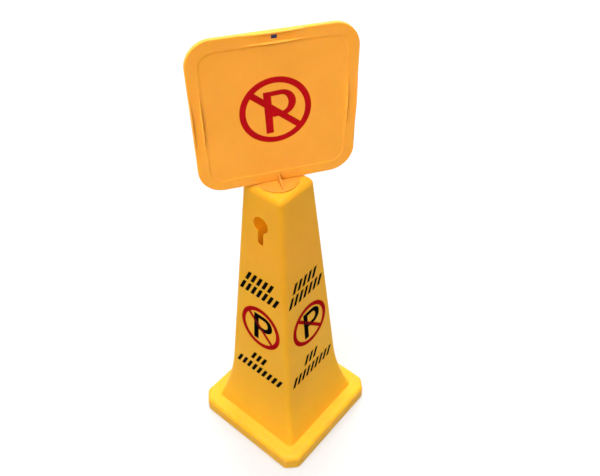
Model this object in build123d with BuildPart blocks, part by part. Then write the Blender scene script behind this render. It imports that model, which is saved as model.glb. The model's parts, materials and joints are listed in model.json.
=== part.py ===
"""No parking sign: a hollow four-sided floor cone that carries a plug-in sign board.

Millimetres, +Z up. The origin is at the middle of the flange, on the floor.
The face with the keyhole that the viewer sees is the -Y face.
"""

import os
from math import cos, radians, sin, sqrt

from build123d import *

# Cone: straight tapered faces, a flared skirt and a thick flange with cut corners
cone_height = 671.5
top_width = 90.5
waist_width = 165.3
waist_height = 185.0
skirt_width = 224.5
cone_wall = 2.5
body_edge_radius = 11.0
top_edge_radius = 12.0
flange_width = 285.0
flange_height = 37.0
flange_corner_cut = 22.0
flange_corner_radius = 12.0
flange_edge_radius = 10.0
skirt_foot_radius = 3.0

# Keyholes through the -Y and +Y faces, which take the end of a barrier chain
keyhole_drop = 71.5
keyhole_head_radius = 17.5
keyhole_slot_width = 13.6
keyhole_slot_drop = 40.0

# Ribs under the flange, and the ribs inside the skirt that keep stacked cones from jamming
flange_rib_thickness = 2.5
flange_rib_pitch = 75.0
flange_ribs_per_side = 3
flange_rib_floor_gap = 10.0
stack_rib_thickness = 3.0
stack_rib_depth = 4.0
stack_rib_pitch = 90.0
stack_rib_bottom = 60.0
stack_rib_top = 150.0

# Swivel plug: disc, spigot, post and fins
disc_radius = 36.7
disc_thickness = 2.2
disc_edge_bevel = 0.8
spigot_radius = 17.0
spigot_length = 34.0
spigot_wall = 2.5
spigot_lead_in = 1.2
socket_wall = 2.5
socket_depth = 38.0
post_width = 40.0
post_height = 48.0
post_lead_in = 1.0
fin_thickness = 3.0
fin_height = 15.0
fin_reach = 31.0
fin_toe = 2.2

# Sign board: two hollow half shells with a raised rim
board_turn = 57.0
board_width = 270.3
board_height = 270.3
board_thickness = 8.0
board_corner_radius = 43.0
board_edge_radius = 1.5
shell_wall = 1.6
rim_width = 20.0
panel_corner_radius = 24.0
panel_step = 0.5
seam_bevel = 0.4
guide_rib_thickness = 2.0
guide_rib_height = 56.0
peg_radius = 2.5
peg_length = 2.0
peg_boss_radius = 5.0
peg_edge_distance = 36.0

# Ribs that bow out of the front rim on three sides: one along the board's edge, one along the panel's border
bow_length = 100.0
edge_rib_rise = 3.2
edge_rib_bevel = 0.8
edge_rib_inset = 0.4
edge_rib_width = 2.6
border_rib_rise = 4.0
border_rib_width = 5.5
border_rib_slope = 2.5
border_rib_margin = 0.5

# Dark clip that holds the two halves together at the top and shows in a window between the ribs
window_width = 9.2
window_height = 6.0
window_drop = 8.2
clip_sink = 0.4
clip_foot_overhang = 2.5
clip_foot_thickness = 1.5

# Clearances
running_clearance = 0.05
seat_gap = 0.2
slide_gap = 0.3
peg_clearance = 0.1

# Two places closer than this are the same place when edges are picked
same_place = 0.01

# Heights and half sizes that follow from the sizes above
disc_top = cone_height + seat_gap + disc_thickness
board_seat = disc_top + slide_gap
keyhole_height = cone_height - keyhole_drop
half_thickness = board_thickness / 2
cavity_depth = half_thickness - panel_step - shell_wall
post_thickness = 2 * (cavity_depth - slide_gap)
panel_width = board_width - 2 * rim_width
panel_height = board_height - 2 * rim_width
peg_pitch = (board_width - 2 * peg_edge_distance, board_height - 2 * peg_edge_distance)
window_middle = board_height - window_drop
rib_root = shell_wall / 2

# Board planes: local x runs along the board, local y is up, local z points out of that half's face
turn = radians(board_turn)
board_right = Vector(cos(turn), sin(turn), 0)
board_front = Vector(sin(turn), -cos(turn), 0)
front_plane = Plane((0, 0, board_seat), x_dir=board_right, z_dir=board_front)
rear_plane = Plane((0, 0, board_seat), x_dir=-board_right, z_dir=-board_front)


def tapered_body(inset, top, foot):
    """Four-sided flared body, inset from the outer faces, standing between two heights."""

    def side_profile(plane):
        with BuildSketch(plane) as profile:
            with BuildLine():
                face = Line((top_width / 2 - inset, top), (waist_width / 2 - inset, waist_height))
                flare = TangentArc(face @ 1, (skirt_width / 2 - inset, foot), tangent=face % 1)
                Polyline(flare @ 1, (0, foot), (0, top), face @ 0)
            make_face()
            mirror(about=Plane.YZ)
        return profile.sketch

    with BuildPart() as body:
        extrude(side_profile(Plane.XZ), amount=flange_width, both=True)
        extrude(side_profile(Plane.YZ), amount=flange_width, both=True, mode=Mode.INTERSECT)
        mitres = body.edges().filter_by(
            lambda e: abs(abs(e.center().X) - abs(e.center().Y)) < same_place
            and e.center().Z > foot + same_place
        )
        fillet(mitres, radius=body_edge_radius - inset)
    return body.part


def flange_slab(inset):
    """Square slab on the floor with cut corners and rounded edges, inset from the flange's outer faces."""
    width = flange_width - 2 * inset
    with BuildPart() as slab:
        with BuildSketch():
            Rectangle(width, width)
            chamfer(vertices(), length=flange_corner_cut - inset * (2 - sqrt(2)))
            fillet(vertices(), radius=flange_corner_radius - inset)
        extrude(amount=flange_height - inset)
        fillet(slab.edges().group_by(Axis.Z)[-1], radius=flange_edge_radius - inset)
    return slab.part


# Cone body
with BuildPart() as cone_hollow:
    add(tapered_body(cone_wall, cone_height - cone_wall, flange_height - cone_wall))
    fillet(cone_hollow.edges().group_by(Axis.Z)[-1], radius=top_edge_radius - cone_wall)
    add(flange_slab(cone_wall))

# Ribs under the flange's ledge and inside the skirt, cut to end inside the wall
with BuildPart() as flange_ribs:
    rib_outer = flange_width / 2
    rib_inner = skirt_width / 2 - cone_wall
    with BuildSketch(Plane.XY.offset(flange_rib_floor_gap)):
        with PolarLocations((rib_outer + rib_inner) / 2, 4):
            with GridLocations(0, flange_rib_pitch, 1, flange_ribs_per_side):
                Rectangle(rib_outer - rib_inner, flange_rib_thickness)
    extrude(amount=flange_height)
    add(flange_slab(cone_wall / 2), mode=Mode.INTERSECT)

with BuildPart() as stack_ribs:
    rib_middle = (stack_rib_bottom + stack_rib_top) / 2
    with Locations((0, 0, rib_middle)):
        with GridLocations(stack_rib_pitch, 0, 2, 1):
            Box(stack_rib_thickness, flange_width, stack_rib_top - stack_rib_bottom)
        with GridLocations(0, stack_rib_pitch, 1, 2):
            Box(flange_width, stack_rib_thickness, stack_rib_top - stack_rib_bottom)
    add(tapered_body(cone_wall / 2, cone_height, flange_height), mode=Mode.INTERSECT)
    add(tapered_body(cone_wall + stack_rib_depth, cone_height, flange_height), mode=Mode.SUBTRACT)

with BuildPart() as cone_body:
    add(flange_slab(0))
    add(tapered_body(0, cone_height, flange_height))
    fillet(cone_body.edges().group_by(Axis.Z)[-1], radius=top_edge_radius)
    skirt_foot = cone_body.edges().filter_by(
        lambda e: abs(e.center().Z - flange_height) < same_place
        and max(abs(e.center().X), abs(e.center().Y)) < skirt_width / 2 + same_place
    )
    fillet(skirt_foot, radius=skirt_foot_radius)
    add(cone_hollow.part, mode=Mode.SUBTRACT)
    # Collar that holds the plug's spigot
    with BuildSketch(Plane.XY.offset(cone_height - cone_wall / 2)):
        Circle(spigot_radius + running_clearance + socket_wall)
    extrude(amount=cone_wall / 2 - socket_depth)
    with BuildSketch(Plane.XY.offset(cone_height)):
        Circle(spigot_radius + running_clearance)
    extrude(amount=-socket_depth, mode=Mode.SUBTRACT)
    # Keyholes
    with BuildSketch(Plane.XZ):
        with Locations((0, keyhole_height)):
            Circle(keyhole_head_radius)
        with Locations((0, keyhole_height - keyhole_slot_drop / 2)):
            SlotCenterToCenter(keyhole_slot_drop, keyhole_slot_width, rotation=90)
    extrude(amount=skirt_width, both=True, mode=Mode.SUBTRACT)
    add(flange_ribs.part)
    add(stack_ribs.part)

# Swivel plug
with BuildPart() as swivel_plug:
    with BuildSketch(Plane.XY.offset(cone_height + seat_gap)):
        Circle(disc_radius)
    extrude(amount=disc_thickness)
    chamfer(swivel_plug.edges().group_by(Axis.Z)[-1], length=disc_edge_bevel)
    with BuildSketch(Plane.XY.offset(cone_height + seat_gap)):
        Circle(spigot_radius)
        Circle(spigot_radius - spigot_wall, mode=Mode.SUBTRACT)
    extrude(amount=-spigot_length)
    spigot_rim = swivel_plug.edges().group_by(Axis.Z)[0].sort_by(SortBy.RADIUS)[-1]
    chamfer(spigot_rim, length=spigot_lead_in)
    # Post that stands up inside the hollow board
    with BuildSketch(Plane((0, 0, disc_top), x_dir=board_right)):
        Rectangle(post_width, post_thickness)
    extrude(amount=post_height)
    chamfer(swivel_plug.edges().group_by(Axis.Z)[-1], length=post_lead_in)
    # Fins that brace the board's two faces
    fin_root = half_thickness + slide_gap
    for outward in (board_front, -board_front):
        with BuildSketch(Plane((0, 0, disc_top), x_dir=outward, z_dir=outward.cross(Vector(0, 0, 1)))):
            with BuildLine():
                Polyline(
                    (fin_root, 0),
                    (fin_reach, 0),
                    (fin_reach, fin_toe),
                    (fin_root, fin_height),
                    close=True,
                )
            make_face()
        extrude(amount=fin_thickness / 2, both=True)


def bowed_rib(edge_plane, crests):
    """Rib that bows out of the rim; local x runs along the board's edge and local y out of its face.

    The crests give the height of the bow's middle above the face at each distance from the plane.
    """
    base = half_thickness - rib_root
    tallest = max(crests.values())
    arc_radius = ((bow_length / 2) ** 2 + tallest**2) / (2 * tallest)
    with BuildPart() as rib:
        for distance, rise in crests.items():
            crest = half_thickness + rise
            half_chord = sqrt(arc_radius**2 - (arc_radius - crest + base) ** 2)
            with BuildSketch(edge_plane.offset(distance)):
                with BuildLine():
                    ThreePointArc((-half_chord, base), (0, crest), (half_chord, base))
                    Line((half_chord, base), (-half_chord, base))
                make_face()
        loft(ruled=True)
    return rib.part


def board_half(plane):
    """One half shell of the board, open towards the other half."""
    middle = board_height / 2
    with BuildPart() as half:
        with BuildSketch(plane):
            with Locations((0, middle)):
                RectangleRounded(board_width, board_height, board_corner_radius)
        extrude(amount=half_thickness)
        seam_edges = half.faces().sort_by(Axis(plane.origin, plane.z_dir))[0].edges()
        face_edges = half.faces().sort_by(Axis(plane.origin, plane.z_dir))[-1].edges()
        fillet(face_edges, radius=board_edge_radius)
        chamfer(seam_edges, length=seam_bevel)
        with BuildSketch(plane.offset(half_thickness)):
            with Locations((0, middle)):
                RectangleRounded(panel_width, panel_height, panel_corner_radius)
        extrude(amount=-panel_step, mode=Mode.SUBTRACT)
        # Hollow inside, with a way in at the bottom for the plug's post
        with BuildSketch(plane):
            with Locations((0, middle)):
                RectangleRounded(
                    board_width - 2 * shell_wall,
                    board_height - 2 * shell_wall,
                    board_corner_radius - shell_wall,
                )
            with Locations((0, shell_wall)):
                Rectangle(post_width + 2 * slide_gap, 2 * shell_wall)
        extrude(amount=cavity_depth, mode=Mode.SUBTRACT)
        # Ribs on both sides of the post
        with BuildSketch(plane):
            with Locations((0, shell_wall / 2 + guide_rib_height / 2)):
                with GridLocations(post_width + 2 * slide_gap + guide_rib_thickness, 0, 2, 1):
                    Rectangle(guide_rib_thickness, guide_rib_height)
        extrude(amount=cavity_depth + shell_wall / 2)
        # Bosses for the locating pegs
        with BuildSketch(plane):
            with Locations((0, middle)):
                with GridLocations(*peg_pitch, 2, 2):
                    Circle(peg_boss_radius)
        extrude(amount=cavity_depth + shell_wall / 2)
    return half.part


# Front half, with the bowed ribs, the pegs and the clip's window
with BuildPart() as board_front_shell:
    add(board_half(front_plane))
    edge_crests = {
        0: edge_rib_rise - edge_rib_bevel,
        edge_rib_bevel: edge_rib_rise,
        edge_rib_width - edge_rib_bevel: edge_rib_rise,
        edge_rib_width: edge_rib_rise - edge_rib_bevel,
    }
    border_crests = {
        0: -rib_root / 2,
        border_rib_slope: border_rib_rise,
        border_rib_width - border_rib_slope: border_rib_rise,
        border_rib_width: -rib_root / 2,
    }
    up = front_plane.y_dir
    border = rim_width - border_rib_margin - border_rib_width
    for across, height, sideways, inward in (
        (-board_width / 2, board_height / 2, up, board_right),
        (board_width / 2, board_height / 2, -up, -board_right),
        (0, board_height, board_right, -up),
    ):
        edge_plane = Plane(
            front_plane.from_local_coords((across, height, 0)), x_dir=sideways, z_dir=inward
        )
        add(bowed_rib(edge_plane.offset(edge_rib_inset), edge_crests))
        add(bowed_rib(edge_plane.offset(border), border_crests))
    with BuildSketch(front_plane):
        with Locations((0, board_height / 2)):
            with GridLocations(*peg_pitch, 2, 2):
                Circle(peg_radius)
    extrude(amount=-peg_length)
    with BuildSketch(front_plane):
        with Locations((0, window_middle)):
            Rectangle(window_width, window_height)
    extrude(amount=board_thickness, mode=Mode.SUBTRACT)

# Rear half, with the sockets for the pegs
with BuildPart() as board_rear_shell:
    add(board_half(rear_plane))
    with BuildSketch(rear_plane):
        with Locations((0, board_height / 2)):
            with GridLocations(*peg_pitch, 2, 2):
                Circle(peg_radius + peg_clearance)
    extrude(amount=peg_length + peg_clearance, mode=Mode.SUBTRACT)

# Clip: a tab that fills the window, with a foot that bears on the inside of the front half
with BuildPart() as catch_clip:
    clip_width = window_width - 2 * slide_gap
    clip_height = window_height - 2 * slide_gap
    clip_top = half_thickness - clip_sink
    with BuildSketch(front_plane.offset(-cavity_depth)):
        with Locations((0, window_middle)):
            Rectangle(clip_width, clip_height)
    extrude(amount=cavity_depth + clip_top)
    with BuildSketch(front_plane.offset(cavity_depth)):
        with Locations((0, window_middle)):
            Rectangle(clip_width + 2 * clip_foot_overhang, clip_height)
    extrude(amount=-clip_foot_thickness)

os.makedirs("parts", exist_ok=True)
cone_body.part.label = "cone_body"
export_step(cone_body.part, "parts/cone_body.step")
swivel_plug.part.label = "swivel_plug"
export_step(swivel_plug.part, "parts/swivel_plug.step")
board_front_shell.part.label = "board_front_shell"
export_step(board_front_shell.part, "parts/board_front_shell.step")
board_rear_shell.part.label = "board_rear_shell"
export_step(board_rear_shell.part, "parts/board_rear_shell.step")
catch_clip.part.label = "catch_clip"
export_step(catch_clip.part, "parts/catch_clip.step")
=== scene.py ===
"""Looks of a no parking sign: a yellow floor cone that carries an orange sign board.

The file is laid out as an add-on and runs as a script around the packed model.
"""

import json
import math

import bmesh
import bpy
from bpy.props import FloatProperty, FloatVectorProperty, PointerProperty
from bpy.types import Operator, Panel, PropertyGroup
from mathutils import Matrix, Vector
from mathutils.bvhtree import BVHTree

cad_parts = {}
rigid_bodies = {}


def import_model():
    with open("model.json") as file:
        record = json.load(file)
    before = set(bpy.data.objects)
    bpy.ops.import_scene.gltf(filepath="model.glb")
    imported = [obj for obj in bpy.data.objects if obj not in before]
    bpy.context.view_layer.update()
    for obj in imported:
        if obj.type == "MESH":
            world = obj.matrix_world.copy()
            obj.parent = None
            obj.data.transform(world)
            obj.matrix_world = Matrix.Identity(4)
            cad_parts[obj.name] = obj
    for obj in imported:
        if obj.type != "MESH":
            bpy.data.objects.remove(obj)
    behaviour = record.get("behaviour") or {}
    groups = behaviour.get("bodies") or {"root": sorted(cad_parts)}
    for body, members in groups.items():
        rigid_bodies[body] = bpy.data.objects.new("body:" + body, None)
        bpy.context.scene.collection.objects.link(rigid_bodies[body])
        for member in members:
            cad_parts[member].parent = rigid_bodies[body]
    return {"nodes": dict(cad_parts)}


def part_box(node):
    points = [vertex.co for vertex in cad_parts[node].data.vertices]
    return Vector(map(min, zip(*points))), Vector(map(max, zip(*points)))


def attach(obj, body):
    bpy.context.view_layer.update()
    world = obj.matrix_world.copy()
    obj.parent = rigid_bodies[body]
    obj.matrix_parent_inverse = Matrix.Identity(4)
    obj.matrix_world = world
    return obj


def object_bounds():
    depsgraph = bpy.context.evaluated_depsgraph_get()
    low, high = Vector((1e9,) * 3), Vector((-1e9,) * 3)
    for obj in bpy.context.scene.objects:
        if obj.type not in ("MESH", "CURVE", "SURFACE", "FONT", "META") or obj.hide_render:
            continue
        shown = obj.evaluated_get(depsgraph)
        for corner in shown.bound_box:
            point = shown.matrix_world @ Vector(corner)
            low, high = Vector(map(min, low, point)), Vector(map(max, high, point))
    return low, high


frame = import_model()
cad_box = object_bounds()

bl_info = {
    "name": "No Parking Sign",
    "version": (1, 0, 0),
    "blender": (4, 5, 0),
    "location": "View3D > Sidebar > Sign",
    "description": "Finishes, prints and studio stage of a floor cone with a sign board",
    "category": "Object",
}

NODES = frame["nodes"]
UP = Vector((0, 0, 1))
# The way that each face of the cone looks.
CONE_FACES = {"front": Vector((0, -1, 0)), "right": Vector((1, 0, 0)),
              "back": Vector((0, 1, 0)), "left": Vector((-1, 0, 0))}

# Points of a print that lie closer than this, in metres, become one point.
WELD = 5e-6
# How far up a face of the cone its slope is measured, in metres.
SLOPE_RUN = 0.05
# Width of the camera's sensor, in millimetres.
SENSOR_WIDTH = 36.0

# Shades of a colour: what it is multiplied by, and what is then added.
DEEP_PLASTIC = (0.96, 0.0)
PALE_PLASTIC = (1.03, 0.003)
RUBBED_PLASTIC = (1.05, 0.05)
THIN_INK = (0.85, 0.0)
FULL_INK = (1.1, 0.0)
WORN_INK = (0.8, 0.02)
PALE_FLOOR = (1.02, 0.0)
WHITE = (1.0, 1.0, 1.0, 1.0)

# How much taller the broad ripple of a moulding is than its grain.
RIPPLE_SHARE = 4.0
# Radius of the edges that get rubbed, in metres, and the samples that find them.
RUBBED_RADIUS = 0.003
RUBBED_SAMPLES = 4

# Kinds of socket in the node groups.
VALUE = "NodeSocketFloat"
COLOUR = "NodeSocketColor"


class PlasticSettings(PropertyGroup):
    """Colours and surface of the mouldings."""

    cone_colour: FloatVectorProperty(
        name="Cone colour", description="Yellow of the cone", subtype="COLOR",
        default=(0.84, 0.400, 0.018), min=0, max=1)
    board_colour: FloatVectorProperty(
        name="Board colour", description="Orange of the board", subtype="COLOR",
        default=(0.80, 0.342, 0.039), min=0, max=1)
    # The plug is of the board's plastic; its colour is painted darker than the board's as painted shade, so
    # that its upward face, which gets more light, shows no brighter than the board.
    plug_shaded_colour: FloatVectorProperty(
        name="Plug colour", description="Orange of the plug", subtype="COLOR",
        default=(0.70, 0.300, 0.032), min=0, max=1)
    clip_colour: FloatVectorProperty(
        name="Clip colour", description="Dark slate of the clip", subtype="COLOR",
        default=(0.030, 0.034, 0.075), min=0, max=1)
    dust_colour: FloatVectorProperty(
        name="Dust colour", description="Pale dust on ledges", subtype="COLOR",
        default=(0.60, 0.52, 0.40), min=0, max=1)
    cone_dust: FloatProperty(
        name="Cone dust", description="How much dust lies on the cone", default=0.10, min=0, max=1)
    board_dust: FloatProperty(
        name="Board dust", description="How much dust lies on the board and plug", default=0.06, min=0, max=1)
    clip_dust: FloatProperty(
        name="Clip dust", description="How much dust lies on the clip", default=0.05, min=0, max=1)
    dust_roughness: FloatProperty(
        name="Dust roughness", description="Roughness that full dust adds", default=0.5, min=0, max=1)
    edge_wear: FloatProperty(
        name="Edge wear", description="How strongly rubbed edges show", default=0.35, min=0, max=1)
    roughness: FloatProperty(
        name="Roughness", description="Roughness of the satin moulding", default=0.42, min=0, max=1)
    refraction: FloatProperty(
        name="Refraction", description="Index of refraction of the plastic", default=1.49, min=1)
    specular: FloatProperty(
        name="Specular", description="Level of the plastic's shine", default=0.05, min=0, max=1)
    cone_scatter: FloatProperty(
        name="Cone scatter", description="How deep red light goes into the cone's wall",
        default=0.003, unit="LENGTH", min=0)
    board_scatter: FloatProperty(
        name="Board scatter", description="How deep red light goes into the board's wall",
        default=0.0005, unit="LENGTH", min=0)
    scatter_shares: FloatVectorProperty(
        name="Scatter shares", description="Depths of red, green and blue light as shares of the red's",
        default=(1.0, 0.55, 0.05), min=0)
    rim_width: FloatProperty(
        name="Rim width", description="Width of the board's raised rim", default=0.020, unit="LENGTH")
    panel_corner: FloatProperty(
        name="Panel corner", description="Corner radius of the sunk panel inside the rim",
        default=0.024, unit="LENGTH")
    lip_width: FloatProperty(
        name="Lip width", description="Width of the soft lip between panel and rim",
        default=0.005, unit="LENGTH", min=1e-4)
    lip_depth: FloatProperty(
        name="Lip depth", description="Rise of the soft lip", default=0.00038, unit="LENGTH", min=0)
    grain_size: FloatProperty(
        name="Grain size", description="Pitch of the moulded grain", default=0.0012, unit="LENGTH", min=1e-5)
    grain_depth: FloatProperty(
        name="Grain depth", description="Depth of the moulded grain", default=0.00002, unit="LENGTH", min=0)


class PrintSettings(PropertyGroup):
    """Colours, surface and thickness of the printed films."""

    red: FloatVectorProperty(
        name="Red", description="Red of the ring and slash", subtype="COLOR",
        default=(0.395, 0.0046, 0.0070), min=0, max=1)
    black: FloatVectorProperty(
        name="Black", description="Black of the letter and bars", subtype="COLOR",
        default=(0.002, 0.002, 0.003), min=0, max=1)
    overprint: FloatVectorProperty(
        name="Overprint", description="Where the red slash crosses the black letter", subtype="COLOR",
        default=(0.10, 0.004, 0.006), min=0, max=1)
    film: FloatProperty(
        name="Film", description="How far the film stands off the plastic",
        default=0.00012, unit="LENGTH", min=0)
    bond: FloatProperty(
        name="Bond", description="How far the film sinks into the plastic",
        default=0.00005, unit="LENGTH", min=0)
    grain_depth: FloatProperty(
        name="Grain depth", description="Depth of the film's grain", default=0.00001, unit="LENGTH", min=0)
    refraction: FloatProperty(
        name="Refraction", description="Index of refraction of the ink", default=1.46, min=1)
    specular: FloatProperty(
        name="Specular", description="Level of the ink's shine", default=0.0, min=0, max=1)


class ConeSignSettings(PropertyGroup):
    """Sign and hazard bars on each face of the cone."""

    height: FloatProperty(
        name="Height", description="Height of the ring's middle", default=0.335, unit="LENGTH")
    aside: FloatProperty(
        name="Aside", description="How far right of the face's middle the sign lies",
        default=0.0023, unit="LENGTH")
    ring_radius: FloatProperty(
        name="Ring radius", description="Outer radius of the ring", default=0.0515, unit="LENGTH")
    ring_stretch: FloatProperty(
        name="Ring stretch", description="Height of the ring over its width", default=1.05, min=0.1)
    ring_stroke: FloatProperty(
        name="Ring stroke", description="Width of the ring", default=0.0098, unit="LENGTH")
    slash_width: FloatProperty(
        name="Slash width", description="Width of the slash", default=0.0080, unit="LENGTH")
    slash_angle: FloatProperty(
        name="Slash angle", description="Fall of the slash to the right",
        default=math.radians(45), subtype="ANGLE")
    letter_left: FloatProperty(
        name="Letter left", description="Left edge of the letter from the ring's middle",
        default=-0.0174, unit="LENGTH")
    letter_foot: FloatProperty(
        name="Letter foot", description="Foot of the letter from the ring's middle",
        default=-0.0357, unit="LENGTH")
    letter_width: FloatProperty(
        name="Letter width", description="Width of the letter", default=0.0486, unit="LENGTH")
    letter_height: FloatProperty(
        name="Letter height", description="Height of the letter", default=0.0720, unit="LENGTH")
    bowl_height: FloatProperty(
        name="Bowl height", description="Height of the letter's bowl", default=0.0425, unit="LENGTH")
    stem: FloatProperty(
        name="Stem", description="Width of upright strokes", default=0.0122, unit="LENGTH")
    bar: FloatProperty(
        name="Bar", description="Width of level strokes", default=0.0098, unit="LENGTH")
    row_heights: FloatVectorProperty(
        name="Row heights", description="Heights of the middles of the rows of bars", size=4,
        default=(0.4605, 0.4300, 0.2355, 0.1985), unit="LENGTH")
    row_widths: FloatVectorProperty(
        name="Row widths", description="Widths of the rows of bars", size=4,
        default=(0.070, 0.098, 0.042, 0.132), unit="LENGTH")
    row_depths: FloatVectorProperty(
        name="Row depths", description="How tall the rows of bars are", size=4,
        default=(0.0235, 0.0245, 0.0250, 0.0260), unit="LENGTH")
    row_asides: FloatVectorProperty(
        name="Row asides", description="How far right of the face's middle the rows of bars lie", size=4,
        default=(-0.0018, -0.0018, -0.0015, 0.0003), unit="LENGTH")
    dash_pitch: FloatProperty(
        name="Dash pitch", description="Distance from one bar to the next", default=0.0142, unit="LENGTH")
    dash_width: FloatProperty(
        name="Dash width", description="Width of one bar", default=0.0080, unit="LENGTH")
    dash_slant: FloatProperty(
        name="Dash slant", description="Lean of the bars", default=math.radians(24), subtype="ANGLE")


class BoardSignSettings(PropertyGroup):
    """Sign on both faces of the board."""

    height: FloatProperty(
        name="Height", description="Height of the ring's middle above the board's lower edge",
        default=0.1388, unit="LENGTH")
    aside: FloatProperty(
        name="Aside", description="How far right of the board's middle the sign lies",
        default=-0.0012, unit="LENGTH")
    turn: FloatProperty(
        name="Turn", description="The film was stuck on a little turned",
        default=math.radians(2.5), subtype="ANGLE")
    ring_radius: FloatProperty(
        name="Ring radius", description="Outer radius of the ring", default=0.0588, unit="LENGTH")
    ring_stretch: FloatProperty(
        name="Ring stretch", description="Height of the ring over its width", default=1.0, min=0.1)
    ring_stroke: FloatProperty(
        name="Ring stroke", description="Width of the ring", default=0.0102, unit="LENGTH")
    slash_width: FloatProperty(
        name="Slash width", description="Width of the slash", default=0.0108, unit="LENGTH")
    slash_angle: FloatProperty(
        name="Slash angle", description="Fall of the slash to the right",
        default=math.radians(42.5), subtype="ANGLE")
    letter_left: FloatProperty(
        name="Letter left", description="Left edge of the letter from the ring's middle",
        default=-0.0180, unit="LENGTH")
    letter_foot: FloatProperty(
        name="Letter foot", description="Foot of the letter from the ring's middle",
        default=-0.0400, unit="LENGTH")
    letter_width: FloatProperty(
        name="Letter width", description="Width of the letter", default=0.0520, unit="LENGTH")
    letter_height: FloatProperty(
        name="Letter height", description="Height of the letter", default=0.0750, unit="LENGTH")
    bowl_height: FloatProperty(
        name="Bowl height", description="Height of the letter's bowl", default=0.0460, unit="LENGTH")
    stem: FloatProperty(
        name="Stem", description="Width of upright strokes", default=0.0124, unit="LENGTH")
    bar: FloatProperty(
        name="Bar", description="Width of level strokes", default=0.0084, unit="LENGTH")


class StageSettings(PropertyGroup):
    """Floor, light and camera."""

    floor_size: FloatProperty(
        name="Floor size", description="Side of the floor", default=14.0, unit="LENGTH")
    floor_thickness: FloatProperty(
        name="Floor thickness", description="Thickness of the floor", default=0.01, unit="LENGTH")
    floor_colour: FloatVectorProperty(
        name="Floor colour", description="Pale floor, as it is seen", subtype="COLOR",
        default=(0.52, 0.52, 0.52), min=0, max=1)
    floor_bounce: FloatVectorProperty(
        name="Floor bounce", description="Floor colour that lights the sign from below", subtype="COLOR",
        default=(0.45, 0.45, 0.45), min=0, max=1)
    floor_roughness: FloatProperty(
        name="Floor roughness", description="Roughness of the floor", default=0.9, min=0, max=1)
    floor_specular: FloatProperty(
        name="Floor specular", description="Level of the floor's shine", default=0.1, min=0, max=1)
    ambient: FloatProperty(
        name="Ambient", description="Strength of the surrounding light", default=0.14, min=0)
    top_light: FloatProperty(
        name="Top light", description="Strength of the overhead light", default=3.9, min=0)
    top_softness: FloatProperty(
        name="Top softness", description="Angle that the overhead light seems to fill",
        default=math.radians(30), subtype="ANGLE")
    key_light: FloatProperty(
        name="Key light", description="Strength of the light from the front", default=1.05, min=0)
    key_azimuth: FloatProperty(
        name="Key azimuth", description="Key light's turn round the cone from its front face",
        default=math.radians(0), subtype="ANGLE")
    key_elevation: FloatProperty(
        name="Key elevation", description="Key light's angle above the horizon",
        default=math.radians(45), subtype="ANGLE")
    fill_light: FloatProperty(
        name="Fill light", description="Strength of the light from the right", default=0.70, min=0)
    fill_azimuth: FloatProperty(
        name="Fill azimuth", description="Fill light's turn round the cone from its front face",
        default=math.radians(65), subtype="ANGLE")
    fill_elevation: FloatProperty(
        name="Fill elevation", description="Fill light's angle above the horizon",
        default=math.radians(60), subtype="ANGLE")
    back_light: FloatProperty(
        name="Back light", description="Strength of the light from behind", default=2.0, min=0)
    back_azimuth: FloatProperty(
        name="Back azimuth", description="Back light's turn round the cone from its front face",
        default=math.radians(222), subtype="ANGLE")
    back_elevation: FloatProperty(
        name="Back elevation", description="Back light's angle above the horizon",
        default=math.radians(28), subtype="ANGLE")
    side_softness: FloatProperty(
        name="Side softness", description="Angle that the key, fill and back lights each seem to fill",
        default=math.radians(45), subtype="ANGLE")
    board_light: FloatProperty(
        name="Board light", description="Strength of the light on the board alone", default=2.2, min=0)
    board_light_azimuth: FloatProperty(
        name="Board light azimuth", description="Board light's turn round the cone from its front face",
        default=math.radians(10), subtype="ANGLE")
    board_light_elevation: FloatProperty(
        name="Board light elevation", description="Board light's angle above the horizon",
        default=math.radians(35), subtype="ANGLE")
    board_light_softness: FloatProperty(
        name="Board light softness", description="Angle that the board light seems to fill",
        default=math.radians(9), subtype="ANGLE")
    glow_light: FloatProperty(
        name="Glow light", description="Power of the light that stands in for daylight through the walls",
        default=0.048, unit="POWER", min=0)
    glow_colour: FloatVectorProperty(
        name="Glow colour", description="Colour of that light", subtype="COLOR",
        default=(1.0, 0.92, 0.35), min=0, max=1)
    glow_radius: FloatProperty(
        name="Glow radius", description="Radius of that light", default=0.02, unit="LENGTH", min=0)
    glow_height: FloatProperty(
        name="Glow height", description="Height of that light inside the cone", default=0.53, unit="LENGTH")
    camera_azimuth: FloatProperty(
        name="Camera azimuth", description="Camera's turn round the cone from its front face",
        default=math.radians(40.08), subtype="ANGLE")
    camera_elevation: FloatProperty(
        name="Camera elevation", description="Camera's angle above the horizon",
        default=math.radians(43.24), subtype="ANGLE")
    camera_roll: FloatProperty(
        name="Camera roll", description="Camera's turn about its own line of sight",
        default=math.radians(-0.31), subtype="ANGLE")
    camera_distance: FloatProperty(
        name="Camera distance", description="From the camera to the point that it looks at",
        default=1.1969, unit="LENGTH")
    aim_right: FloatProperty(
        name="Aim right", description="How far right of the cone's axis the camera looks",
        default=0.0371, unit="LENGTH")
    aim_height: FloatProperty(
        name="Aim height", description="Height of the point that the camera looks at",
        default=0.5331, unit="LENGTH")
    lens: FloatProperty(
        name="Lens", description="Focal length on a 36 mm sensor, in millimetres", default=38.15, min=1)


def fill_inputs(tree, node, values):
    """Gives a node's inputs, by name or number, their values, and links them to those that are sockets."""
    for name, value in values.items():
        if isinstance(value, bpy.types.NodeSocket):
            tree.links.new(value, node.inputs[name])
        else:
            node.inputs[name].default_value = value
    return node


def shader_node(tree, kind, values=None, **settings):
    """A node of that kind, with settings on the node and values on its inputs."""
    made = tree.nodes.new(kind)
    for name, value in settings.items():
        setattr(made, name, value)
    return fill_inputs(tree, made, values or {})


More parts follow.
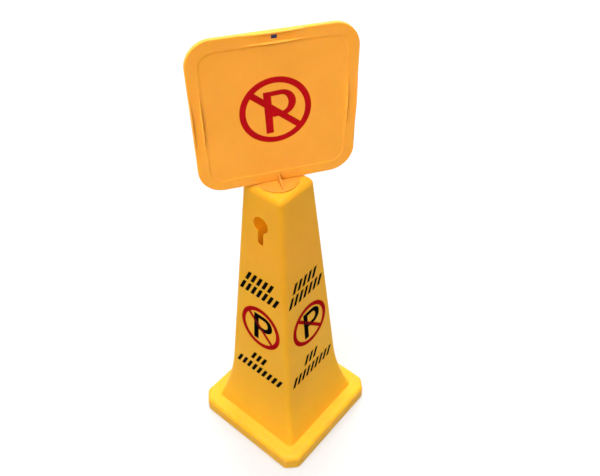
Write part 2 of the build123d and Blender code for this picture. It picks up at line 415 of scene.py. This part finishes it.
def node_group(name, inputs, outputs):
    """An empty shader node group with those sockets; returns the tree, its input node and its output node."""
    tree = bpy.data.node_groups.new(name, "ShaderNodeTree")
    for side, sockets in (("INPUT", inputs), ("OUTPUT", outputs)):
        for socket, kind in sockets.items():
            tree.interface.new_socket(socket, in_out=side, socket_type=kind)
    return tree, tree.nodes.new("NodeGroupInput"), tree.nodes.new("NodeGroupOutput")


def place_group(tree, name, maker, values):
    """A node group placed in a material with its own values; its maker builds it for the first material."""
    shared = bpy.data.node_groups.get(name) or maker(name)
    return shader_node(tree, "ShaderNodeGroup", values, node_tree=shared)


def math_node(tree, operation, first, second=0.0, clamp=False):
    """The output of a Math node of one or two values or sockets."""
    values = {0: first, 1: second}
    return shader_node(tree, "ShaderNodeMath", values, operation=operation, use_clamp=clamp).outputs[0]


def dot_product(tree, first, second):
    """The dot product of two vectors or sockets."""
    values = {0: first, 1: second}
    return shader_node(tree, "ShaderNodeVectorMath", values, operation="DOT_PRODUCT").outputs["Value"]


def remap(tree, value, low, high, to_low=0.0, to_high=1.0, interpolation="LINEAR"):
    """A value mapped from one range to another and held inside it."""
    values = {"Value": value, "From Min": low, "From Max": high, "To Min": to_low, "To Max": to_high}
    return shader_node(tree, "ShaderNodeMapRange", values, interpolation_type=interpolation).outputs["Result"]


def mix_colour(tree, factor, first, second):
    """The colour between two colours or sockets."""
    made = shader_node(tree, "ShaderNodeMix", data_type="RGBA")
    number = {socket.identifier: i for i, socket in enumerate(made.inputs)}
    values = {number["Factor_Float"]: factor, number["A_Color"]: first, number["B_Color"]: second}
    fill_inputs(tree, made, values)
    return next(socket for socket in made.outputs if socket.identifier == "Result_Color")


def rgba(colour):
    """A colour with full alpha."""
    return (*colour, 1.0)


def shade(colour, factor, added):
    """A lighter or darker shade of a colour, with full alpha."""
    return rgba(min(1.0, c * factor + added) for c in colour)


def surface_place(tree):
    """The place on the surface, in metres."""
    return shader_node(tree, "ShaderNodeTexCoord").outputs["Object"]


def surface_normal(tree):
    """The way that the surface faces."""
    return shader_node(tree, "ShaderNodeNewGeometry").outputs["Normal"]


def noise(tree, place, size, detail=2.0, roughness=0.5):
    """Noise from 0 to 1 whose blobs are about that size, in metres or as a socket of its inverse."""
    scale = size if isinstance(size, bpy.types.NodeSocket) else 1.0 / size
    values = {"Vector": place, "Scale": scale, "Detail": detail, "Roughness": roughness}
    return shader_node(tree, "ShaderNodeTexNoise", values).outputs["Fac"]


def bump(tree, height):
    """The normal of a surface raised by a height in metres."""
    values = {"Height": height, "Distance": 1.0, "Strength": 1.0}
    return shader_node(tree, "ShaderNodeBump", values).outputs["Normal"]


def moulded_surface_group(name):
    """Grain, flow marks and rubbed edges of an injection moulding."""
    tree, given, out = node_group(
        name, {"Grain scale": VALUE, "Grain depth": VALUE},
        {"Flow": VALUE, "Roughness shift": VALUE, "Edge": VALUE, "Height": VALUE})
    place = surface_place(tree)
    grain = noise(tree, place, given.outputs["Grain scale"], detail=3.0, roughness=0.6)
    ripple = noise(tree, place, size=0.045)
    relief = math_node(tree, "ADD", grain, math_node(tree, "MULTIPLY", ripple, RIPPLE_SHARE))
    clouds = noise(tree, place, size=0.11, detail=4.0, roughness=0.55)
    sheen = noise(tree, place, size=0.02, detail=5.0, roughness=0.6)
    rounded = shader_node(tree, "ShaderNodeBevel", {"Radius": RUBBED_RADIUS}, samples=RUBBED_SAMPLES)
    agreement = dot_product(tree, rounded.outputs["Normal"], surface_normal(tree))
    sharp = remap(tree, agreement, low=0.995, high=0.90)
    patchy = remap(tree, noise(tree, place, size=0.012, detail=4.0, roughness=0.65), low=0.40, high=0.70)
    fill_inputs(tree, out, {
        "Flow": remap(tree, clouds, low=0.30, high=0.70),
        "Roughness shift": remap(tree, sheen, low=0.3, high=0.7, to_low=-0.05, to_high=0.06),
        "Edge": math_node(tree, "MULTIPLY", sharp, patchy),
        "Height": math_node(tree, "MULTIPLY", relief, given.outputs["Grain depth"])})
    return tree


def ledge_dust_group(name):
    """Dust that lies on what faces up."""
    tree, given, out = node_group(name, {"Amount": VALUE}, {"Mask": VALUE})
    upward = shader_node(tree, "ShaderNodeSeparateXYZ", {0: surface_normal(tree)}).outputs["Z"]
    level = remap(tree, upward, low=0.55, high=0.95)
    specks = noise(tree, surface_place(tree), size=0.006, detail=6.0, roughness=0.7)
    lying = math_node(tree, "MULTIPLY", level, remap(tree, specks, low=0.42, high=0.72))
    fill_inputs(tree, out, {"Mask": math_node(tree, "MULTIPLY", lying, given.outputs["Amount"])})
    return tree


def printed_ink_group(name):
    """Ink that lies a little unevenly, with pin holes worn pale."""
    tree, given, out = node_group(
        name, {"Thin": COLOUR, "Full": COLOUR, "Worn": COLOUR, "Grain depth": VALUE},
        {"Colour": COLOUR, "Roughness": VALUE, "Height": VALUE})
    place = surface_place(tree)
    holes = noise(tree, place, size=0.004, detail=6.0, roughness=0.7)
    worn = remap(tree, holes, low=0.66, high=0.78, to_low=0.0, to_high=0.5)
    uneven = remap(tree, noise(tree, place, size=0.03, detail=3.0), low=0.3, high=0.7)
    ink = mix_colour(tree, uneven, given.outputs["Thin"], given.outputs["Full"])
    grain = noise(tree, place, size=0.0009)
    fill_inputs(tree, out, {
        "Colour": mix_colour(tree, worn, ink, given.outputs["Worn"]),
        "Roughness": remap(tree, uneven, low=0.0, high=1.0, to_low=0.36, to_high=0.50),
        "Height": math_node(tree, "MULTIPLY", grain, given.outputs["Grain depth"])})
    return tree


def bare_material(name):
    """A new material with its tree, Principled shader and nothing else set."""
    made = bpy.data.materials.new(name)
    made.use_nodes = True
    return made, made.node_tree, made.node_tree.nodes["Principled BSDF"]


def panel_lip(tree, settings):
    """Height of the soft lip round the board's sunk panel, from the distance to a rounded square."""
    low, high = (corner.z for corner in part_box("board_front_shell"))
    straight = (high - low) / 2 - settings.rim_width - settings.panel_corner
    place = surface_place(tree)
    beyond = []
    for axis, middle in ((UP.cross(board_facing()).normalized(), 0.0), (UP, (low + high) / 2)):
        off = math_node(tree, "SUBTRACT", dot_product(tree, place, axis), middle)
        beyond.append(math_node(tree, "SUBTRACT", math_node(tree, "ABSOLUTE", off), straight))
    squares = [math_node(tree, "POWER", math_node(tree, "MAXIMUM", b, 0.0), 2.0) for b in beyond]
    outside = math_node(tree, "SQRT", math_node(tree, "ADD", *squares))
    inside = math_node(tree, "MINIMUM", math_node(tree, "MAXIMUM", *beyond), 0.0)
    distance = math_node(tree, "SUBTRACT", math_node(tree, "ADD", outside, inside), settings.panel_corner)
    half = settings.lip_width / 2
    return remap(tree, distance, -half, half, to_high=settings.lip_depth, interpolation="SMOOTHSTEP")


def moulded_plastic(name, colour, settings, scatter, dust, raised=None):
    """Satin moulded plastic that lets light into its walls where it scatters, raised by a further height."""
    made, tree, shader = bare_material(name)
    surface = place_group(tree, "Moulded surface", moulded_surface_group,
                          {"Grain scale": 1.0 / settings.grain_size, "Grain depth": settings.grain_depth})
    mask = place_group(tree, "Ledge dust", ledge_dust_group, {"Amount": dust}).outputs["Mask"]
    deep, pale = shade(colour, *DEEP_PLASTIC), shade(colour, *PALE_PLASTIC)
    body = mix_colour(tree, surface.outputs["Flow"], deep, pale)
    rubbed = math_node(tree, "MULTIPLY", surface.outputs["Edge"], settings.edge_wear)
    edged = mix_colour(tree, rubbed, body, shade(colour, *RUBBED_PLASTIC))
    rough = math_node(tree, "ADD", surface.outputs["Roughness shift"], settings.roughness)
    dusty = math_node(tree, "MULTIPLY", mask, settings.dust_roughness)
    height = surface.outputs["Height"]
    if raised:
        height = math_node(tree, "ADD", height, raised(tree, settings))
    fill_inputs(tree, shader, {
        "Base Color": mix_colour(tree, mask, edged, rgba(settings.dust_colour)),
        "Roughness": math_node(tree, "ADD", rough, dusty, clamp=True),
        "Normal": bump(tree, height),
        "IOR": settings.refraction,
        "Specular IOR Level": settings.specular,
        "Subsurface Weight": 1.0 if scatter > 0 else 0.0,
        "Subsurface Radius": settings.scatter_shares,
        "Subsurface Scale": scatter})
    return made


def print_film(name, colour, settings):
    """Printed film of one ink."""
    made, tree, shader = bare_material(name)
    ink = place_group(tree, "Printed ink", printed_ink_group, {
        "Thin": shade(colour, *THIN_INK), "Full": shade(colour, *FULL_INK), "Worn": shade(colour, *WORN_INK),
        "Grain depth": settings.grain_depth})
    fill_inputs(tree, shader, {
        "Base Color": ink.outputs["Colour"],
        "Roughness": ink.outputs["Roughness"],
        "Normal": bump(tree, ink.outputs["Height"]),
        "IOR": settings.refraction,
        "Specular IOR Level": settings.specular})
    return made


def give_material(node, material):
    """Puts a material in every slot of a CAD node."""
    if not node.material_slots:
        node.data.materials.append(material)
    for place in node.material_slots:
        place.material = material


def add_object(name, data):
    """A new object of a mesh, lamp or camera, put in the scene."""
    made = bpy.data.objects.new(name, data)
    bpy.context.scene.collection.objects.link(made)
    return made


def add_shape(name, shape):
    """A new object of a shape that is done, and is then let go."""
    mesh = bpy.data.meshes.new(name)
    shape.to_mesh(mesh)
    shape.free()
    return add_object(name, mesh)


def prism(name, outline, low, high):
    """A closed object of a flat outline, from one level to another."""
    shape = bmesh.new()
    floor = [shape.verts.new((x, y, low)) for x, y in outline]
    roof = [shape.verts.new((x, y, high)) for x, y in outline]
    shape.faces.new(reversed(floor))
    shape.faces.new(roof)
    for i in range(len(outline)):
        j = (i + 1) % len(outline)
        shape.faces.new((floor[i], floor[j], roof[j], roof[i]))
    return add_shape(name, shape)


def join(name, pieces):
    """Several pieces as one object."""
    shape = bmesh.new()
    for piece in pieces:
        shape.from_mesh(piece.data)
        bpy.data.objects.remove(piece)
    return add_shape(name, shape)


def weld(mesh):
    """Closes up the slivers that a boolean leaves."""
    shape = bmesh.new()
    shape.from_mesh(mesh)
    bmesh.ops.remove_doubles(shape, verts=shape.verts, dist=WELD)
    bmesh.ops.dissolve_degenerate(shape, edges=shape.edges, dist=WELD)
    open_edges = sum(not edge.is_manifold for edge in shape.edges)
    shape.to_mesh(mesh)
    shape.free()
    if open_edges:
        raise RuntimeError(f"{open_edges} open edges in a print")


def combine(base, other, operation):
    """Boolean of two closed objects, put in the first; the second goes."""
    change = base.modifiers.new("combine", "BOOLEAN")
    change.operation = operation
    change.solver = "EXACT"
    change.object = other
    graph = bpy.context.evaluated_depsgraph_get()
    mesh = bpy.data.meshes.new_from_object(base.evaluated_get(graph))
    base.modifiers.remove(change)
    weld(mesh)
    base.data = mesh
    bpy.data.objects.remove(other)
    return base


def cutting(low, high):
    """Levels of a cutter that goes past both levels of what it cuts."""
    return 2 * low - high, 2 * high - low


def oval_points(radius, stretch, angles):
    """Points of an oval, stretched upwards, at those angles."""
    return [(radius * math.cos(a), stretch * radius * math.sin(a)) for a in angles]


def half_oval(middle_x, middle_y, reach, half_height, count=32):
    """Points round the right half of an oval, from its foot to its top."""
    angles = [math.pi * (i / count - 0.5) for i in range(count + 1)]
    return [(middle_x + reach * math.cos(a), middle_y + half_height * math.sin(a)) for a in angles]


def slash_gaps(sign, count=64):
    """Outlines of the two openings inside the ring, one on each side of the slash."""
    radius = sign.ring_radius - sign.ring_stroke
    across = radius * math.sin(sign.slash_angle)
    along = sign.ring_stretch * radius * math.cos(sign.slash_angle)
    spread = math.acos(sign.slash_width / 2 / math.hypot(across, along))
    for middle in (math.atan2(along, across), math.atan2(-along, -across)):
        angles = [middle + spread * (2 * i / count - 1) for i in range(count + 1)]
        yield oval_points(radius, sign.ring_stretch, angles)


def letter_outlines(sign):
    """Outer and inner outline of the parking letter, from the ring's middle."""
    left, foot = sign.letter_left, sign.letter_foot
    right, top = left + sign.letter_width, foot + sign.letter_height
    inner = left + sign.stem
    bowl_foot = top - sign.bowl_height
    bowl_middle = (top + bowl_foot) / 2
    round_from = right - sign.bowl_height / 2
    outer = [(left, foot), (inner, foot), (inner, bowl_foot)]
    outer += half_oval(round_from, bowl_middle, right - round_from, sign.bowl_height / 2)
    outer += [(left, top)]
    hole_half = sign.bowl_height / 2 - sign.bar
    hole = [(inner, bowl_middle - hole_half)]
    hole += half_oval(round_from, bowl_middle, right - sign.stem - round_from, hole_half)
    hole += [(inner, bowl_middle + hole_half)]
    return outer, hole


def letter_piece(name, sign, low, high):
    """The parking letter as a closed piece."""
    outer, hole = letter_outlines(sign)
    letter = prism(name, outer, low, high)
    return combine(letter, prism("letter_hole", hole, *cutting(low, high)), "DIFFERENCE")


def slash_piece(name, sign, low, high):
    """The slash of the sign, as long as the ring is wide."""
    reach, half = sign.ring_radius, sign.slash_width / 2
    slope = Matrix.Rotation(-sign.slash_angle, 2)
    corners = [slope @ Vector(p) for p in ((-reach, -half), (reach, -half), (reach, half), (-reach, half))]
    return prism(name, corners, low, high)


def ring_piece(name, sign, low, high, with_letter, count=128):
    """The ring and its slash as one closed piece, either with the letter or cut where the letter crosses."""
    rim = oval_points(sign.ring_radius, sign.ring_stretch, [2 * math.pi * i / count for i in range(count)])
    ring = prism(name, rim, low, high)
    deep = cutting(low, high)
    for outline in slash_gaps(sign):
        gap = prism("gap", outline, *deep)
        if with_letter:
            combine(gap, letter_piece("letter", sign, *cutting(*deep)), "DIFFERENCE")
        combine(ring, gap, "DIFFERENCE")
    if not with_letter:
        combine(ring, letter_piece("letter", sign, *deep), "DIFFERENCE")
    return ring


def bar_row(name, sign, index, low, high):
    """One row of slanted hazard bars, with its middle at the origin."""
    width, depth = sign.row_widths[index], sign.row_depths[index]
    lean = depth * math.tan(sign.dash_slant)
    count = max(1, round((width - lean - sign.dash_width) / sign.dash_pitch) + 1)
    first = -(count - 1) / 2 * sign.dash_pitch
    half = sign.dash_width / 2
    bars = []
    for i in range(count):
        middle = first + i * sign.dash_pitch
        outline = [(middle - half - lean / 2, -depth / 2), (middle + half - lean / 2, -depth / 2),
                   (middle + half + lean / 2, depth / 2), (middle - half + lean / 2, depth / 2)]
        bars.append(prism(f"{name}_{i}", outline, low, high))
    return join(name, bars)


def lay_on(piece, frame_matrix, material, body):
    """Lays a flat piece on a surface, gives it its ink and lets it ride on a body."""
    piece.data.transform(frame_matrix)
    piece.data.materials.clear()
    piece.data.materials.append(material)
    for polygon in piece.data.polygons:
        polygon.use_smooth = False
    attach(piece, body)


def surface_tree(*names):
    """The faces of CAD nodes, for casting rays at them."""
    points, faces = [], []
    for name in names:
        mesh = NODES[name].data
        start = len(points)
        points += [v.co.copy() for v in mesh.vertices]
        faces += [[start + i for i in p.vertices] for p in mesh.polygons]
    return BVHTree.FromPolygons(points, faces)


def hit(tree, start, direction):
    """Where a ray first meets the faces."""
    place, *_ = tree.ray_cast(start, direction.normalized())
    if place is None:
        raise RuntimeError(f"nothing to print on from {tuple(start)}")
    return place


def axes_matrix(origin, x_axis, y_axis):
    """The matrix of a frame from its origin and two axes."""
    z_axis = x_axis.cross(y_axis)
    made = Matrix((x_axis, y_axis, z_axis)).transposed().to_4x4()
    made.translation = origin
    return made


def face_frame(tree, outward, height, aside):
    """Axes of a sloping face of the cone at a height: x to the viewer's right, y up the slope, z out."""
    outside = outward * (cad_box[1].x * 2)
    place = hit(tree, outside + UP * height, -outward)
    above = hit(tree, outside + UP * (height + SLOPE_RUN), -outward)
    level = axes_matrix(place, UP.cross(outward).normalized(), (above - place).normalized())
    return level @ Matrix.Translation((aside, 0, 0))


def board_facing():
    """The way that the board's front half faces."""
    mesh = NODES["board_front_shell"].data
    largest = max(mesh.polygons, key=lambda p: p.area).normal.copy()
    front, rear = (sum(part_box(n), Vector()) / 2 for n in ("board_front_shell", "board_rear_shell"))
    return largest if largest.dot(front - rear) > 0 else -largest


def cone_sign(face, sign, levels):
    """The ring with its slash, the letter, and where the slash crosses the letter, for a face of the cone."""
    letter = letter_piece(f"cone_letter_{face}", sign, *levels)
    combine(letter, slash_piece("slash", sign, *cutting(*levels)), "DIFFERENCE")
    crossing = letter_piece(f"cone_crossing_{face}", sign, *levels)
    combine(crossing, slash_piece("slash", sign, *cutting(*levels)), "INTERSECT")
    ring = ring_piece(f"cone_ring_{face}", sign, *levels, with_letter=False)
    return ring, letter, crossing


def cone_bars(face, outward, tree, sign, levels):
    """The rows of hazard bars of a face of the cone, each at its own height on the slope."""
    rows = []
    for index, (height, aside) in enumerate(zip(sign.row_heights, sign.row_asides)):
        row = bar_row(f"cone_row_{face}_{index}", sign, index, *levels)
        row.data.transform(face_frame(tree, outward, height, aside))
        rows.append(row)
    return join(f"cone_bars_{face}", rows)


class SIGN_OT_cone_finish(Operator):
    """Gives the cone its yellow plastic"""

    bl_idname = "sign.cone_finish"
    bl_label = "Finish cone"

    def execute(self, context):
        plastic = context.scene.sign_plastic
        look = moulded_plastic("cone_plastic_look", plastic.cone_colour, plastic,
                               scatter=plastic.cone_scatter, dust=plastic.cone_dust)
        give_material(NODES["cone_body"], look)
        return {"FINISHED"}


class SIGN_OT_board_finish(Operator):
    """Gives the board's halves their orange plastic"""

    bl_idname = "sign.board_finish"
    bl_label = "Finish board"

    def execute(self, context):
        plastic = context.scene.sign_plastic
        look = moulded_plastic("board_plastic_look", plastic.board_colour, plastic,
                               scatter=plastic.board_scatter, dust=plastic.board_dust, raised=panel_lip)
        for name in ("board_front_shell", "board_rear_shell"):
            give_material(NODES[name], look)
        return {"FINISHED"}


class SIGN_OT_plug_finish(Operator):
    """Gives the plug the board's orange plastic, painted darker as shade on its brightly lit top"""

    bl_idname = "sign.plug_finish"
    bl_label = "Finish plug"

    def execute(self, context):
        plastic = context.scene.sign_plastic
        # Painted shade: the plug takes a darker copy of the board's orange.
        look = moulded_plastic("plug_shaded_plastic_look", plastic.plug_shaded_colour, plastic,
                               scatter=plastic.board_scatter, dust=plastic.board_dust)
        give_material(NODES["swivel_plug"], look)
        return {"FINISHED"}


class SIGN_OT_clip_finish(Operator):
    """Gives the clip its dark plastic, which lets no light in"""

    bl_idname = "sign.clip_finish"
    bl_label = "Finish clip"

    def execute(self, context):
        plastic = context.scene.sign_plastic
        look = moulded_plastic("clip_plastic_look", plastic.clip_colour, plastic,
                               scatter=0.0, dust=plastic.clip_dust)
        give_material(NODES["catch_clip"], look)
        return {"FINISHED"}


class SIGN_OT_cone_prints(Operator):
    """Prints the sign and the hazard bars on the cone's faces"""

    bl_idname = "sign.cone_prints"
    bl_label = "Print cone"

    def execute(self, context):
        sign, ink = context.scene.sign_cone, context.scene.sign_print
        red = print_film("red_print", ink.red, ink)
        black = print_film("black_print", ink.black, ink)
        crossed = print_film("overprint", ink.overprint, ink)
        tree = surface_tree("cone_body")
        levels = -ink.bond, ink.film
        for face, outward in CONE_FACES.items():
            middle = face_frame(tree, outward, sign.height, sign.aside)
            for piece, look in zip(cone_sign(face, sign, levels), (red, black, crossed)):
                lay_on(piece, middle, look, "cone")
            lay_on(cone_bars(face, outward, tree, sign, levels), Matrix(), black, "cone")
        return {"FINISHED"}


class SIGN_OT_board_prints(Operator):
    """Prints the sign on both faces of the board"""

    bl_idname = "sign.board_prints"
    bl_label = "Print board"

    def execute(self, context):
        sign, ink = context.scene.sign_board, context.scene.sign_print
        red = bpy.data.materials.get("red_print") or print_film("red_print", ink.red, ink)
        tree = surface_tree("board_front_shell", "board_rear_shell")
        facing = board_facing()
        middle = UP * (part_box("board_front_shell")[0].z + sign.height)
        for face, outward in (("front", facing), ("rear", -facing)):
            place = hit(tree, middle + outward * cad_box[1].x, -outward)
            sideways = UP.cross(outward).normalized()
            level = axes_matrix(place + sideways * sign.aside, sideways, UP)
            turned = level @ Matrix.Rotation(sign.turn, 4, "Z")
            piece = ring_piece(f"board_sign_{face}", sign, -ink.bond, ink.film, with_letter=True)
            lay_on(piece, turned, red, "board")
        return {"FINISHED"}


class SIGN_OT_stage(Operator):
    """Makes the floor, the lights, the world and the camera"""

    bl_idname = "sign.stage"
    bl_label = "Set stage"

    def execute(self, context):
        stage = context.scene.sign_stage
        make_floor(stage)
        make_world(stage)
        make_lights(stage)
        make_camera(stage)
        context.scene.view_settings.view_transform = "Standard"
        return {"FINISHED"}


def seen_rays(tree):
    """1 for rays that show the stage to the eye, straight, mirrored or through glass, and 0 for its light."""
    path = shader_node(tree, "ShaderNodeLightPath")
    seen = math_node(tree, "MAXIMUM", path.outputs["Is Camera Ray"], path.outputs["Is Transmission Ray"])
    return math_node(tree, "MAXIMUM", seen, path.outputs["Is Glossy Ray"])


def make_floor(stage):
    """Plain pale floor with a faint tooth."""
    half = stage.floor_size / 2
    corners = [(-half, -half), (half, -half), (half, half), (-half, half)]
    floor = prism("floor", corners, -stage.floor_thickness, 0.0)
    made, tree, shader = bare_material("studio_floor")
    tooth = remap(tree, noise(tree, surface_place(tree), size=0.02, detail=5.0), low=0.3, high=0.7)
    seen = mix_colour(tree, tooth, rgba(stage.floor_colour), shade(stage.floor_colour, *PALE_FLOOR))
    fill_inputs(tree, shader, {
        "Base Color": mix_colour(tree, seen_rays(tree), rgba(stage.floor_bounce), seen),
        "Roughness": stage.floor_roughness,
        "Specular IOR Level": stage.floor_specular})
    floor.data.materials.append(made)


def make_world(stage):
    """White where it is seen or mirrored, dimmer where it lights the sign."""
    world = bpy.data.worlds.new("studio")
    bpy.context.scene.world = world
    world.use_nodes = True
    tree = world.node_tree
    strength = remap(tree, seen_rays(tree), low=0.0, high=1.0, to_low=stage.ambient, to_high=1.0)
    fill_inputs(tree, tree.nodes["Background"], {"Color": WHITE, "Strength": strength})


def heading(turn, rise):
    """The direction at a turn round the cone from its front face and a rise above the horizon."""
    return Vector((math.sin(turn) * math.cos(rise), -math.cos(turn) * math.cos(rise), math.sin(rise)))


def make_sun(name, strength, towards, softness):
    """A soft distant light that comes from a direction."""
    lamp = bpy.data.lights.new(name, "SUN")
    lamp.energy = strength
    lamp.angle = softness
    made = add_object(name, lamp)
    made.rotation_mode = "QUATERNION"
    made.rotation_quaternion = towards.to_track_quat("Z", "Y")
    return made


def make_board_light(stage):
    """A firmer light from the left that falls on the board alone and draws its ribs."""
    direction = heading(stage.board_light_azimuth, stage.board_light_elevation)
    made = make_sun("board_light", stage.board_light, direction, stage.board_light_softness)
    lit = bpy.data.collections.new("lit_by_board_light")
    for piece in bpy.context.scene.objects:
        if piece.type == "MESH" and piece.name.startswith(("board_", "catch_clip")):
            lit.objects.link(piece)
    made.light_linking.receiver_collection = lit


def make_glow(stage):
    """A small light in the hollow of the cone, for the daylight that comes through its thin walls."""
    lamp = bpy.data.lights.new("glow_light", "POINT")
    lamp.energy = stage.glow_light
    lamp.color = stage.glow_colour
    lamp.shadow_soft_size = stage.glow_radius
    made = add_object("glow_light", lamp)
    made.location = UP * stage.glow_height
    made.visible_camera = False


def make_lights(stage):
    """Broad lights from above, the front, the right and behind, one for the board and a glow in the cone."""
    key = heading(stage.key_azimuth, stage.key_elevation)
    fill = heading(stage.fill_azimuth, stage.fill_elevation)
    back = heading(stage.back_azimuth, stage.back_elevation)
    make_sun("top_light", stage.top_light, UP, stage.top_softness)
    make_sun("key_light", stage.key_light, key, stage.side_softness)
    make_sun("fill_light", stage.fill_light, fill, stage.side_softness)
    make_sun("back_light", stage.back_light, back, stage.side_softness)
    make_board_light(stage)
    make_glow(stage)


def make_camera(stage):
    """The camera, at the photograph's viewing angle."""
    turn, rise, roll = stage.camera_azimuth, stage.camera_elevation, stage.camera_roll
    back = heading(turn, rise)
    right = Vector((math.cos(turn), math.sin(turn), 0))
    upward = back.cross(right)
    lens = bpy.data.cameras.new("camera")
    lens.sensor_width = SENSOR_WIDTH
    lens.sensor_fit = "HORIZONTAL"
    lens.lens = stage.lens
    made = add_object("camera", lens)
    place = right * stage.aim_right + UP * stage.aim_height + back * stage.camera_distance
    tilted_right = right * math.cos(roll) + upward * math.sin(roll)
    tilted_up = upward * math.cos(roll) - right * math.sin(roll)
    made.matrix_world = axes_matrix(place, tilted_right, tilted_up)
    bpy.context.scene.camera = made


OPERATORS = (SIGN_OT_cone_finish, SIGN_OT_board_finish, SIGN_OT_plug_finish, SIGN_OT_clip_finish,
             SIGN_OT_cone_prints, SIGN_OT_board_prints, SIGN_OT_stage)
SETTINGS = {"sign_plastic": PlasticSettings, "sign_print": PrintSettings, "sign_cone": ConeSignSettings,
            "sign_board": BoardSignSettings, "sign_stage": StageSettings}


class SIGN_PT_panel(Panel):
    """Lists the steps of the sign"""

    bl_idname = "SIGN_PT_panel"
    bl_label = "No Parking Sign"
    bl_space_type = "VIEW_3D"
    bl_region_type = "UI"
    bl_category = "Sign"

    def draw(self, context):
        for operator in OPERATORS:
            self.layout.operator(operator.bl_idname)
        for name, group in SETTINGS.items():
            box = self.layout.box()
            box.label(text=group.__doc__)
            for setting in group.__annotations__:
                box.prop(getattr(context.scene, name), setting)


def register():
    for group in SETTINGS.values():
        bpy.utils.register_class(group)
    for kind in (*OPERATORS, SIGN_PT_panel):
        bpy.utils.register_class(kind)
    for name, group in SETTINGS.items():
        setattr(bpy.types.Scene, name, PointerProperty(type=group))


def unregister():
    for name in SETTINGS:
        delattr(bpy.types.Scene, name)
    for kind in (SIGN_PT_panel, *reversed(OPERATORS)):
        bpy.utils.unregister_class(kind)
    for group in SETTINGS.values():
        bpy.utils.unregister_class(group)


def main():
    register()
    bpy.ops.sign.cone_finish()
    bpy.ops.sign.board_finish()
    bpy.ops.sign.plug_finish()
    bpy.ops.sign.clip_finish()
    bpy.ops.sign.cone_prints()
    bpy.ops.sign.board_prints()
    bpy.ops.sign.stage()


if __name__ == "__main__":
    main()
